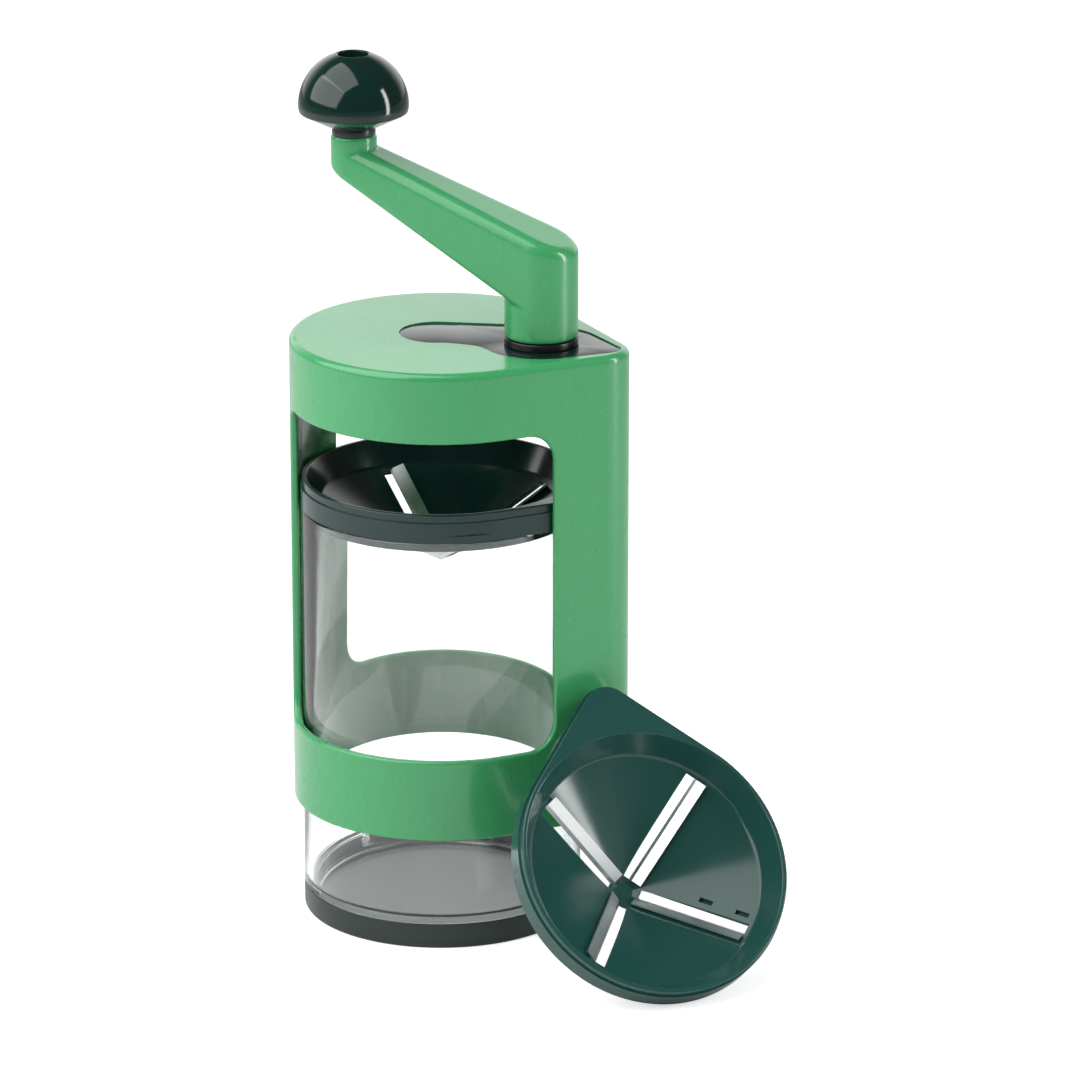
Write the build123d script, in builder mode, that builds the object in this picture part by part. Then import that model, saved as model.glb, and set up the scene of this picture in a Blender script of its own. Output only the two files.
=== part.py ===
from build123d import *
import os
from math import acos, atan2, cos, pi, radians, sin, sqrt, tan

# A hand-cranked spiralizer.  A round clear jar stands on the table.  A blade insert sits on the
# jar's rim, and a sleeve with one square corner slides down over both.  The crank stands in the
# sleeve's corner and drives a spindle in the middle through a pair of gears under the sleeve's top.
# The origin is the middle of the jar's underside, +X points at the sleeve's corner and +Z is up.

# ---- fits -------------------------------------------------------------------------------------
running_gap = 0.05        # radial, shaft in its bush
seat_gap = 0.05           # between faces that are pressed, screwed or set on each other
thrust_gap = 0.2          # end play of the turning pieces
sliding_gap = 0.4         # sleeve over the jar and over the insert

# ---- jar --------------------------------------------------------------------------------------
jar_radius = 48.8
jar_wall = 2.2
jar_floor = 2.5
jar_height = 148.0        # table to rim
foot_height = 9.0
foot_floor = 2.0
foot_wall = 2.0
foot_edge = 1.2           # rounding of the foot's lower edge
rim_edge = 0.7

# ---- sleeve -----------------------------------------------------------------------------------
sleeve_wall = 2.8
corner_rounding = 13.0    # outside, at the square corner
sleeve_bottom = 41.0      # its height above the table in this pose
lower_ring = 29.0
window_height = 114.0
upper_band = 24.8
top_plate = 3.0
top_edge = 2.4            # rounding of the upper edge
lower_edge = 0.8
window_rounding = 10.0
window_edge = 1.0         # rounding of the windows' edges, outside and inside
rear_post_half_angle = 22.5   # degrees, either side of -X
window_past_corner = 19.0     # how far each window runs on along the flat wall

# ---- top inlay --------------------------------------------------------------------------------
inlay_thickness = 1.3
inlay_depth = 0.3         # how far its face lies below the sleeve's top
inlay_side_gap = 0.1
inlay_small_lobe = 13.0
inlay_small_shift = 1.0   # its centre lies this far behind the spindle
inlay_large_lobe = 20.5
inlay_tip_rounding = 5.0
inlay_corner_lip = 2.65
inlay_neck_width = 11.0   # from the middle line to the hollow side of the neck
inlay_neck_blend = 12.0

# ---- gears ------------------------------------------------------------------------------------
gear_module = 2.0
crank_teeth = 16
spindle_teeth = 21
pressure_angle = radians(20)
backlash = 0.12
gear_width = 7.0
gear_hub_radius = 9.0
gear_hub_wall = 2.4
spindle_hub_length = 1.6  # below the gear's face
bearing_boss = 2.0        # how far the bosses hang below the top plate
boss_wall = 3.0

# ---- shafts, bushes and their fasteners ---------------------------------------------------------
shaft_radius = 5.0
hexagon_radius = 4.9      # corner radius of the shafts' hexagon
upper_journal = 4.0       # radius of the spindle's upper end
bush_wall = 4.0
thin_bush_wall = 2.0
crank_bush_flange = 2.65
cover_bush_flange = 1.0
bush_end = 0.4            # how far the cover bush stands out below
screw_core = 2.0          # radius of the screws in the shaft ends
screw_grip = 9.0
screw_head_radius = 3.6
screw_head_height = 1.8
washer_radius = 6.0
washer_thickness = 0.8
clip_thickness = 0.8
clip_radius = 7.4
clip_groove = 1.0
clip_opening = 5.6        # between the clip's two ends

# ---- gear cover -------------------------------------------------------------------------------
cover_floor = 2.2
cover_wall = 2.0
tooth_clearance = 1.2
ear_radius = 5.0
cover_screw_core = 1.25
cover_screw_grip = 8.0
cover_screw_head = 2.8
cover_screw_head_height = 1.8
screw_boss_radius = 3.5
rear_ear = 21.5           # X and Y of the rear ears
front_ear_x = 17.0
front_ear_y = 30.0

# ---- crank ------------------------------------------------------------------------------------
column_radius = 12.7
post_radius = 7.9
crank_radius = 68.0       # column's axis to post's axis
arm_top_at_column = 36.7  # height of the arm's upper face over the column's foot, on the axis
arm_top_slope = 0.392
arm_under_at_column = 9.75
arm_under_slope = 0.585
post_height = 65.4        # post's top over the column's foot
socket_depth = 26.0
arm_top_rounding = 4.2
arm_under_rounding = 1.5
post_edge = 0.6
column_edge = 0.8

# ---- knob -------------------------------------------------------------------------------------
collar_radius = 7.5
collar_height = 2.5
knob_radius = 19.05
knob_waist = 7.2          # from the knob's underside up to its widest level
knob_band = 2.0           # height of the band below the widest level
knob_band_inset = 0.3
knob_neck = 8.4
knob_corner = 1.2
knob_recess = 5.3
recess_lip = 0.5
bolt_radius = 3.0
bolt_grip = 12.0
bolt_head_radius = 4.7
bolt_head_height = 3.0
bolt_head_below_top = 5.6
cap_thickness = 1.6
cap_below_top = 2.4

# ---- food holder ------------------------------------------------------------------------------
holder_radius = 18.0
holder_thickness = 3.0
holder_hub_radius = 8.0
holder_hub_length = 4.0
holder_edge = 1.0
prong_count = 6
prong_circle = 12.0
prong_radius = 1.0
prong_length = 11.0
prong_root = 2.0
prong_point = 3.0
prong_tip_radius = 0.2

# ---- blade insert -----------------------------------------------------------------------------
band_height = 7.0
rim_height = 3.0
rim_step = 0.6            # the rim stands in from the band by this much
rim_rounding = 0.5
rim_width = 1.6           # from the rim's outside to the dish
dish_slant = 4.6          # how far the dish's wall comes in on its way down to the funnel
dish_depth = 9.0
funnel_depth = 33.0       # rim to the funnel's point
funnel_wall = 2.0
funnel_blend = 2.5
centre_flat = 3.0
plug_wall = 1.6
plug_depth = 3.5
plug_gap = 0.3
corner_plate = 2.5
corner_wall = 2.0
notch_angle = -58.0       # degrees from the insert's corner
notch_width = 16.0
notch_height = 4.0
notch_depth = 0.7
tab_gap = 2.0

# ---- blades -----------------------------------------------------------------------------------
blade_count = 4
first_blade = 45.0        # degrees from the insert's corner
slot_inner = 4.6          # radius at which the slots start
slot_margin = 1.5         # from the slots' outer ends to the edge of the funnel
slot_behind = 1.2         # slot's sides, from the blade's radial line
slot_ahead = 0.6
ramp_ahead = 4.4          # where the face starts to dip towards the slot
ramp_depth = 1.2
blade_width = 5.2
blade_thickness = 0.6
blade_tilt = radians(25)
blade_bevel = 1.4
edge_rise = 0.8           # cutting edge over the funnel's face
edge_reach = 0.7          # cutting edge ahead of the blade's radial line
pip_blade = 3             # the blade that has two short pockets ahead of it
pip_radii = (25.0, 37.0)
pip_length = 5.0
pip_width = 1.8
pip_depth = 1.2
pip_offset = 7.0

# ---- spare insert -----------------------------------------------------------------------------
lean = radians(40)        # back from upright
lean_gap = 0.25           # between its corner and the sleeve
lean_along_wall = 33.0    # from the line where the flat wall starts
table_gap = 0.02

# ---- sizes that follow ------------------------------------------------------------------------
sleeve_bore = jar_radius + sliding_gap
sleeve_radius = sleeve_bore + sleeve_wall
bore_rounding = corner_rounding - sleeve_wall
sleeve_tip = sleeve_radius * sqrt(2) - corner_rounding * (sqrt(2) - 1)
window_bottom = sleeve_bottom + lower_ring
window_top = window_bottom + window_height
sleeve_top = window_top + upper_band
plate_under = sleeve_top - top_plate
boss_under = plate_under - bearing_boss
inlay_top = sleeve_top - inlay_depth
inlay_under = inlay_top - inlay_thickness
recess_floor = inlay_under - seat_gap

axis_distance = gear_module * (crank_teeth + spindle_teeth) / 2
gear_top = boss_under - thrust_gap
gear_under = gear_top - gear_width
crank_gear_tip = gear_module * (crank_teeth / 2 + 1)
spindle_gear_tip = gear_module * (spindle_teeth / 2 + 1)

journal_top = gear_under - spindle_hub_length
cover_bush_top = journal_top - thrust_gap
cover_floor_top = cover_bush_top - cover_bush_flange
cover_under = cover_floor_top - cover_floor
cover_bush_bottom = cover_under - bush_end
clip_top = cover_bush_bottom - thrust_gap
clip_bottom = clip_top - clip_thickness
journal_bottom = clip_bottom - bush_end
holder_top = journal_bottom - seat_gap - holder_hub_length
holder_under = holder_top - holder_thickness
prong_top = holder_under + prong_root
prong_bottom = holder_under - prong_length

crank_bush_radius = shaft_radius + running_gap + bush_wall
spindle_bush_radius = upper_journal + running_gap + thin_bush_wall
cover_bush_radius = shaft_radius + running_gap + thin_bush_wall
crank_bush_top = inlay_top + seat_gap + crank_bush_flange
column_foot = crank_bush_top + thrust_gap
post_x = axis_distance - crank_radius
post_top = column_foot + post_height

collar_bottom = post_top + seat_gap
collar_top = collar_bottom + collar_height
knob_under = collar_top + thrust_gap
knob_centre = knob_under + knob_waist
knob_top = knob_centre + sqrt(knob_radius**2 - (knob_recess + recess_lip) ** 2)
bolt_head_top = knob_top - bolt_head_below_top
bolt_head_under = bolt_head_top - bolt_head_height
bolt_seat = bolt_head_under - thrust_gap
cap_top = knob_top - cap_below_top

jar_bore = jar_radius - jar_wall
step_radius = jar_radius - foot_wall - seat_gap
insert_seat = jar_height + seat_gap
insert_height = band_height + rim_height
insert_rounding = bore_rounding - sliding_gap
plug_radius = jar_bore - plug_gap
dish_radius = jar_radius - rim_step - rim_width  # inside, at the rim
funnel_radius = dish_radius - dish_slant
slot_outer = funnel_radius - slot_margin
funnel_edge = insert_height - dish_depth         # levels over the insert's seat
funnel_point = insert_height - funnel_depth
funnel_angle = atan2(funnel_edge - funnel_point, funnel_radius)
funnel_drop = funnel_wall / cos(funnel_angle)    # the funnel's wall measured upright

pieces = {}
upright = (Align.CENTER, Align.CENTER, Align.MIN)


def keep(name, part):
    """Label a finished piece and put it with the others."""
    part.label = name
    pieces[name] = part


def bar(radius, bottom, top, x=0.0, y=0.0, mode=Mode.ADD):
    """A round bar on a vertical axis, added to or cut from the piece being made."""
    with Locations((x, y, bottom)):
        Cylinder(radius, top - bottom, align=upright, mode=mode)


def prism(sketch, bottom, top, mode=Mode.ADD):
    """A flat outline between two levels, added to or cut from the piece being made."""
    extrude(Plane.XY.offset(bottom) * sketch, amount=top - bottom, dir=(0, 0, 1), mode=mode)


def teardrop(radius, rounding):
    """A circle that grows into one square corner on +X, whose tip is rounded."""
    with BuildSketch() as outline:
        Circle(radius)
        with Locations((radius / sqrt(2), 0)):
            Rectangle(radius, radius, rotation=45)
        fillet(outline.vertices().sort_by(Axis.X)[-1], rounding)
    return outline.sketch


def tapered(front, back):
    """Two circles, each (x, radius) on the middle line, with their common tangents."""
    (front_x, front_radius), (back_x, back_radius) = front, back
    lead = (back_radius - front_radius) / (front_x - back_x)
    side = sqrt(1 - lead**2)
    front_touch = (front_x + front_radius * lead, front_radius * side)
    back_touch = (back_x + back_radius * lead, back_radius * side)
    front_low = (front_touch[0], -front_touch[1])
    back_low = (back_touch[0], -back_touch[1])
    with BuildSketch() as outline:
        with BuildLine():
            Line(back_touch, front_touch)
            ThreePointArc(front_touch, (front_x + front_radius, 0), front_low)
            Line(front_low, back_low)
            ThreePointArc(back_low, (back_x - back_radius, 0), back_touch)
        make_face()
    return outline.sketch


def hexagon(x=0.0, gap=0.0):
    """The shafts' hexagon, or with a gap the hole that it fits in."""
    with BuildSketch() as outline:
        with Locations((x, 0)):
            RegularPolygon(hexagon_radius + gap, 6)
    return outline.sketch


def gear_outline(x, teeth, first_tooth):
    """Involute teeth round (x, 0); the first one stands at the given angle in degrees."""
    pitch = gear_module * teeth / 2
    root = pitch - 1.25 * gear_module
    tip = pitch + gear_module
    base = pitch * cos(pressure_angle)

    def half_tooth(radius):
        roll = acos(min(1, base / radius))
        widening = (tan(pressure_angle) - pressure_angle) - (tan(roll) - roll)
        return pi / (2 * teeth) + widening - backlash / (2 * pitch)

    radii = [root - gear_module / 4, base, pitch, (pitch + tip) / 2, tip]
    flank = [(r * cos(half_tooth(r)), r * sin(half_tooth(r))) for r in radii]
    with BuildSketch() as tooth:
        with BuildLine():
            Polyline(*[(px, -py) for px, py in flank], *reversed(flank), close=True)
        make_face()
    with BuildSketch() as outline:
        with Locations((x, 0)):
            Circle(root)
            with PolarLocations(0, teeth, start_angle=first_tooth):
                add(tooth.sketch)
    return outline.sketch


def wall_point(along, out):
    """A plan point by the flat wall on -Y: its way along the wall, its distance from the axis."""
    return ((out + along) / sqrt(2), (along - out) / sqrt(2))


def rear_point(radius):
    """A plan point on the rear edge of the window on -Y."""
    turn = radians(180 + rear_post_half_angle)
    return (radius * cos(turn), radius * sin(turn))


# ---- jar and its foot ---------------------------------------------------------------------------
with BuildPart() as jar:
    with BuildSketch(Plane.XZ) as half:
        with BuildLine():
            Polyline(
                (0, foot_floor + seat_gap),
                (step_radius, foot_floor + seat_gap),
                (step_radius, foot_height + seat_gap),
                (jar_radius, foot_height + seat_gap),
                (jar_radius, jar_height),
                (jar_bore, jar_height),
                (jar_bore, foot_height + jar_wall),
                (step_radius - jar_wall, foot_height + jar_wall),
                (step_radius - jar_wall, foot_floor + jar_floor),
                (0, foot_floor + jar_floor),
                close=True,
            )
        make_face()
        fillet(half.vertices().group_by(Axis.Y)[-1], rim_edge)
    revolve(axis=Axis.Z)
keep("jar", jar.part)

with BuildPart() as jar_foot:
    bar(jar_radius, 0, foot_height)
    fillet(jar_foot.edges().group_by(Axis.Z)[0], foot_edge)
    bar(jar_radius - foot_wall, foot_floor, foot_height, mode=Mode.SUBTRACT)
keep("jar_foot", jar_foot.part)

# ---- top inlay: a keyhole plate, hollow on the front side of its neck ---------------------------
small_lobe = (-inlay_small_shift, inlay_small_lobe)
large_lobe = (axis_distance, inlay_large_lobe)
corner_lobe = (sleeve_tip - inlay_corner_lip - inlay_tip_rounding, inlay_tip_rounding)

with BuildSketch() as inlay_outline:
    add(tapered(large_lobe, small_lobe))
    Rectangle(
        4 * sleeve_radius, sleeve_radius, align=(Align.CENTER, Align.MIN), mode=Mode.INTERSECT
    )
    for x, radius in (small_lobe, large_lobe):
        with Locations((x, 0)):
            Circle(radius)
    Rectangle(axis_distance, inlay_neck_width, align=(Align.MIN, Align.MAX))
    neck_corners = [
        corner
        for corner in inlay_outline.vertices()
        if abs(corner.Y + inlay_neck_width) < seat_gap
    ]
    fillet(neck_corners, inlay_neck_blend)
    add(tapered(corner_lobe, large_lobe))

with BuildSketch() as recess_outline:
    add(inlay_outline.sketch)
    offset(amount=inlay_side_gap)

with BuildPart() as top_inlay:
    prism(inlay_outline.sketch, inlay_under, inlay_top)
    bar(
        crank_bush_radius + seat_gap, inlay_under, inlay_top, x=axis_distance, mode=Mode.SUBTRACT
    )
keep("top_inlay", top_inlay.part)

# ---- sleeve -------------------------------------------------------------------------------------
window_outer = sleeve_radius + corner_rounding
window_inner = sleeve_bore - bore_rounding
ears = [(-rear_ear, rear_ear), (-rear_ear, -rear_ear)]
ears += [(front_ear_x, front_ear_y), (front_ear_x, -front_ear_y)]

with BuildPart() as window:
    with BuildSketch(Plane.XY.offset(window_bottom)):
        with BuildLine():
            Polyline(
                rear_point(window_inner),
                rear_point(window_outer),
                (rear_point(window_outer)[0], -2 * sleeve_radius),
                (wall_point(window_past_corner, window_outer)[0], -2 * sleeve_radius),
                wall_point(window_past_corner, window_outer),
                wall_point(window_past_corner, window_inner),
                close=True,
            )
        make_face()
    extrude(amount=window_height)
    rear_edge = Vector(*rear_point((window_inner + window_outer) / 2))
    front_edge = Vector(*wall_point(window_past_corner, (window_inner + window_outer) / 2))
    corner_edges = [
        edge
        for edge in window.edges().filter_by(Axis.Z, reverse=True)
        for place in (rear_edge, front_edge)
        if (edge.center() - Vector(place.X, place.Y, edge.center().Z)).length < sliding_gap
    ]
    fillet(corner_edges, window_rounding)


def window_edges(sleeve, radius):
    """The windows' edges on the side of the sleeve's wall that has this radius."""

    def out(point):
        if point.X > abs(point.Y):
            return (point.X + abs(point.Y)) / sqrt(2)
        return sqrt(point.X**2 + point.Y**2)

    return [
        edge
        for edge in sleeve.edges()
        if edge.bounding_box().min.Z > window_bottom - window_edge
        and edge.bounding_box().max.Z < window_top + window_edge
        and all(abs(out(edge.position_at(t)) - radius) < seat_gap for t in (0.1, 0.5, 0.9))
    ]


with BuildPart() as sleeve_frame:
    prism(teardrop(sleeve_radius, corner_rounding), sleeve_bottom, sleeve_top)
    fillet(sleeve_frame.edges().group_by(Axis.Z)[-1], top_edge)
    fillet(sleeve_frame.edges().group_by(Axis.Z)[0], lower_edge)
    prism(
        teardrop(sleeve_bore, bore_rounding), sleeve_bottom, plate_under, mode=Mode.SUBTRACT
    )
    add(window.part, mode=Mode.SUBTRACT)
    add(window.part.mirror(Plane.XZ), mode=Mode.SUBTRACT)
    bar(crank_bush_radius + boss_wall, boss_under, plate_under, x=axis_distance)
    bar(spindle_bush_radius + boss_wall, boss_under, plate_under)
    for x, y in ears:
        bar(screw_boss_radius, cover_floor_top + seat_gap, plate_under, x, y)
        bar(
            cover_screw_core + seat_gap,
            cover_floor_top,
            cover_floor_top + cover_screw_grip + thrust_gap,
            x,
            y,
            mode=Mode.SUBTRACT,
        )
    prism(recess_outline.sketch, recess_floor, sleeve_top, mode=Mode.SUBTRACT)
    bar(
        crank_bush_radius + seat_gap, boss_under, sleeve_top, x=axis_distance, mode=Mode.SUBTRACT
    )
    bar(spindle_bush_radius + seat_gap, boss_under, sleeve_top, mode=Mode.SUBTRACT)
    fillet(window_edges(sleeve_frame, sleeve_radius), window_edge)
    fillet(window_edges(sleeve_frame, sleeve_bore), window_edge)
keep("sleeve_frame", sleeve_frame.part)

# ---- bushes -------------------------------------------------------------------------------------
with BuildPart() as crank_bush:
    bar(crank_bush_radius, boss_under, crank_bush_top, x=axis_distance)
    bar(column_radius, inlay_top + seat_gap, crank_bush_top, x=axis_distance)
    bar(
        shaft_radius + running_gap, boss_under, crank_bush_top, x=axis_distance, mode=Mode.SUBTRACT
    )
keep("crank_bush", crank_bush.part)

with BuildPart() as spindle_bush:
    bar(spindle_bush_radius, boss_under, recess_floor)
    bar(upper_journal + running_gap, boss_under, recess_floor, mode=Mode.SUBTRACT)
keep("spindle_bush", spindle_bush.part)

with BuildPart() as cover_bush:
    bar(cover_bush_radius, cover_bush_bottom, cover_bush_top)
    bar(gear_hub_radius, cover_floor_top + seat_gap, cover_bush_top)
    bar(shaft_radius + running_gap, cover_bush_bottom, cover_bush_top, mode=Mode.SUBTRACT)
keep("cover_bush", cover_bush.part)

# ---- gear cover and its screws --------------------------------------------------------------------
crank_well = (axis_distance, crank_gear_tip + tooth_clearance)
spindle_well = (0, spindle_gear_tip + tooth_clearance)
crank_side = (axis_distance, crank_gear_tip + tooth_clearance + cover_wall)
spindle_side = (0, spindle_gear_tip + tooth_clearance + cover_wall)

with BuildPart() as gear_cover:
    prism(tapered(crank_side, spindle_side), cover_under, plate_under - seat_gap)
    prism(
        tapered(crank_well, spindle_well), cover_floor_top, plate_under - seat_gap, mode=Mode.SUBTRACT
    )
    with BuildSketch(Plane.XY.offset(cover_under)):
        for x, y in ears:
            with Locations((x, y)):
                Circle(ear_radius)
            with Locations((x, y / 2)):
                Rectangle(2 * ear_radius, abs(y))
    extrude(amount=cover_floor)
    for x, y in ears:
        bar(cover_screw_core + thrust_gap, cover_under, cover_floor_top, x, y, mode=Mode.SUBTRACT)
    bar(cover_bush_radius + seat_gap, cover_under, cover_floor_top, mode=Mode.SUBTRACT)
    bar(
        gear_hub_radius + running_gap,
        cover_under,
        cover_floor_top,
        x=axis_distance,
        mode=Mode.SUBTRACT,
    )
keep("gear_cover", gear_cover.part)

with BuildPart() as cover_screws:
    for x, y in ears:
        bar(cover_screw_core, cover_under - seat_gap, cover_floor_top + cover_screw_grip, x, y)
        bar(
            cover_screw_head,
            cover_under - seat_gap - cover_screw_head_height,
            cover_under - seat_gap,
            x,
            y,
        )
keep("cover_screws", cover_screws.part)

# ---- crank: column, rising arm and post in one moulding -------------------------------------------
column_end = axis_distance + column_radius
column_side = axis_distance - column_radius
post_end = post_x - post_radius


def arm_top(x):
    return column_foot + arm_top_at_column + arm_top_slope * (axis_distance - x)


def arm_under(x):
    return column_foot + arm_under_at_column + arm_under_slope * (axis_distance - x)


with BuildPart() as column:
    bar(column_radius, column_foot, arm_under(column_side), x=axis_distance)
    fillet(column.edges().group_by(Axis.Z)[0], column_edge)

with BuildPart() as post:
    bar(post_radius, arm_under(post_end) + 2 * arm_under_rounding, post_top, x=post_x)
    fillet(post.edges().group_by(Axis.Z)[-1], post_edge)


def flat_faces(piece):
    """Its flat faces, from the one that looks down most to the one that looks up most."""
    return piece.faces().filter_by(GeomType.PLANE).sort_by(lambda face: face.normal_at().Z)


with BuildPart() as crank_arm:
    with BuildSketch(Plane.XZ):
        with BuildLine():
            Polyline(
                (column_end + 1, arm_under(column_end + 1)),
                (column_end + 1, arm_top(column_end + 1)),
                (post_end - 1, arm_top(post_end - 1)),
                (post_end - 1, arm_under(post_end - 1)),
                close=True,
            )
        make_face()
    extrude(amount=2 * column_radius, both=True)
    prism(
        tapered((axis_distance, column_radius), (post_x, post_radius)),
        column_foot,
        post_top + column_radius,
        mode=Mode.INTERSECT,
    )
    fillet(flat_faces(crank_arm)[-1].edges(), arm_top_rounding)
    fillet(flat_faces(crank_arm)[0].edges(), arm_under_rounding)
    add(column.part)
    add(post.part)
    prism(
        hexagon(axis_distance, seat_gap),
        column_foot,
        column_foot + socket_depth,
        mode=Mode.SUBTRACT,
    )
    bar(
        bolt_radius + seat_gap,
        post_top - bolt_grip - thrust_gap,
        post_top,
        x=post_x,
        mode=Mode.SUBTRACT,
    )
keep("crank_arm", crank_arm.part)

with BuildPart() as crank_shaft:
    prism(hexagon(axis_distance), gear_under + seat_gap, column_foot + socket_depth - thrust_gap)
    bar(shaft_radius, gear_top + seat_gap, column_foot - seat_gap, x=axis_distance)
    bar(
        screw_core + seat_gap,
        gear_under,
        gear_under + screw_grip + thrust_gap,
        x=axis_distance,
        mode=Mode.SUBTRACT,
    )
keep("crank_shaft", crank_shaft.part)

with BuildPart() as crank_gear:
    prism(gear_outline(axis_distance, crank_teeth, 180), gear_under, gear_top)
    bar(gear_hub_radius, cover_under, gear_under, x=axis_distance)
    bar(gear_hub_radius - gear_hub_wall, cover_under, gear_under, x=axis_distance, mode=Mode.SUBTRACT)
    prism(hexagon(axis_distance, seat_gap), gear_under, gear_top, mode=Mode.SUBTRACT)
keep("crank_gear", crank_gear.part)

with BuildPart() as crank_washer:
    bar(
        washer_radius,
        gear_under - seat_gap - washer_thickness,
        gear_under - seat_gap,
        x=axis_distance,
    )
    bar(
        screw_core + seat_gap,
        gear_under - seat_gap - washer_thickness,
        gear_under - seat_gap,
        x=axis_distance,
        mode=Mode.SUBTRACT,
    )
keep("crank_washer", crank_washer.part)

with BuildPart() as crank_screw:
    screw_seat = gear_under - washer_thickness - 2 * seat_gap
    bar(screw_core, screw_seat, gear_under + screw_grip, x=axis_distance)
    bar(screw_head_radius, screw_seat - screw_head_height, screw_seat, x=axis_distance)
keep("crank_screw", crank_screw.part)

# ---- knob and what it turns on --------------------------------------------------------------------
with BuildPart() as knob_collar:
    bar(collar_radius, collar_bottom, collar_top, x=post_x)
    bar(bolt_radius + seat_gap, collar_bottom, collar_top, x=post_x, mode=Mode.SUBTRACT)
keep("knob_collar", knob_collar.part)

with BuildPart() as knob_bolt:
    bar(bolt_radius, post_top - bolt_grip, bolt_head_top, x=post_x)
    bar(bolt_head_radius, bolt_head_under, bolt_head_top, x=post_x)
keep("knob_bolt", knob_bolt.part)

band_radius = knob_radius - knob_band_inset
band_bottom = knob_centre - knob_band
lip_radius = knob_recess + recess_lip

with BuildPart() as knob:
    with BuildSketch(Plane.XZ) as knob_half:
        with BuildLine():
            dome = CenterArc(
                (post_x, knob_centre),
                knob_radius,
                0,
                acos(lip_radius / knob_radius) * 180 / pi,
            )
            Polyline(
                dome @ 1,
                (post_x, knob_top),
                (post_x, knob_under),
                (post_x + knob_neck, knob_under),
                (post_x + band_radius, band_bottom),
                dome @ 0,
            )
        make_face()
        lower_corner = (post_x + band_radius, band_bottom)
        fillet(knob_half.vertices().sort_by_distance(lower_corner)[0], knob_corner)
    revolve(axis=Axis((post_x, 0, 0), (0, 0, 1)))
    bar(knob_recess, bolt_seat, knob_top, x=post_x, mode=Mode.SUBTRACT)
    bar(bolt_radius + running_gap, knob_under, bolt_seat, x=post_x, mode=Mode.SUBTRACT)
keep("knob", knob.part)

with BuildPart() as knob_cap:
    bar(knob_recess - seat_gap, cap_top - cap_thickness, cap_top, x=post_x)
keep("knob_cap", knob_cap.part)

# ---- spindle --------------------------------------------------------------------------------------
with BuildPart() as spindle_shaft:
    bar(upper_journal, gear_top, inlay_under - bush_end)
    prism(hexagon(), journal_top, gear_top)
    bar(shaft_radius, journal_bottom, journal_top)
    prism(hexagon(), holder_under + thrust_gap, journal_bottom)
    bar(shaft_radius, clip_bottom, clip_top, mode=Mode.SUBTRACT)
    bar(shaft_radius - clip_groove, clip_bottom, clip_top)
    bar(
        screw_core + seat_gap,
        holder_under,
        holder_under + screw_grip + thrust_gap,
        mode=Mode.SUBTRACT,
    )
keep("spindle_shaft", spindle_shaft.part)

with BuildPart() as spindle_gear:
    prism(gear_outline(0, spindle_teeth, 180 / spindle_teeth), gear_under, gear_top)
    bar(gear_hub_radius, journal_top + seat_gap, gear_under)
    prism(hexagon(0, seat_gap), journal_top, gear_top, mode=Mode.SUBTRACT)
keep("spindle_gear", spindle_gear.part)

with BuildPart() as spindle_clip:
    bar(clip_radius, clip_bottom + seat_gap, clip_top - seat_gap)
    bar(shaft_radius - clip_groove + seat_gap, clip_bottom, clip_top, mode=Mode.SUBTRACT)
    with Locations((clip_radius / 2, 0, clip_bottom)):
        Box(clip_radius, clip_opening, clip_thickness, align=upright, mode=Mode.SUBTRACT)
keep("spindle_clip", spindle_clip.part)

# ---- food holder ----------------------------------------------------------------------------------
with BuildPart() as food_holder:
    bar(holder_radius, holder_under, holder_top)
    fillet(food_holder.edges().group_by(Axis.Z)[0], holder_edge)
    bar(holder_hub_radius, holder_top, holder_top + holder_hub_length)
    prism(hexagon(0, seat_gap), holder_under, journal_bottom, mode=Mode.SUBTRACT)
    with Locations((0, 0, holder_under)):
        with PolarLocations(prong_circle, prong_count):
            Cylinder(prong_radius + seat_gap, prong_root, align=upright, mode=Mode.SUBTRACT)
keep("food_holder", food_holder.part)

with BuildPart() as holder_prongs:
    with BuildPart(mode=Mode.PRIVATE) as prong:
        bar(prong_radius, prong_bottom + prong_point, prong_top - seat_gap)
        with Locations((0, 0, prong_bottom)):
            Cone(prong_tip_radius, prong_radius, prong_point, align=upright)
    with PolarLocations(prong_circle, prong_count):
        add(prong.part)
keep("holder_prongs", holder_prongs.part)

with BuildPart() as holder_screw:
    flange_top = holder_under - seat_gap
    bar(screw_core, flange_top - washer_thickness, holder_under + screw_grip)
    bar(washer_radius, flange_top - washer_thickness, flange_top)
    bar(
        screw_head_radius,
        flange_top - washer_thickness - screw_head_height,
        flange_top - washer_thickness,
    )
keep("holder_screw", holder_screw.part)

# ---- blades: each lies along the funnel's face, its front edge proud of it ------------------------
# A blade is drawn across the funnel's face, at the middle of its slot: x runs ahead of the blade
# and y stands off the face.
blade_places = [first_blade + 360 / blade_count * n for n in range(blade_count)]
slot_middle = (slot_inner + slot_outer) / 2
slot_length = (slot_outer - slot_inner) / cos(funnel_angle)


def face_plane(angle, radius):
    """A plane square to the funnel's slope, on its face; x runs round it and y stands off it."""
    turn = radians(angle)
    outward = Vector(cos(turn), sin(turn), 0)
    ahead = Vector(-sin(turn), cos(turn), 0)
    along = outward * cos(funnel_angle) + Vector(0, 0, sin(funnel_angle))
    height = funnel_point + radius * tan(funnel_angle)
    place = outward * radius + Vector(0, 0, height)
    return Plane(origin=place, x_dir=ahead, z_dir=-along)


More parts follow.
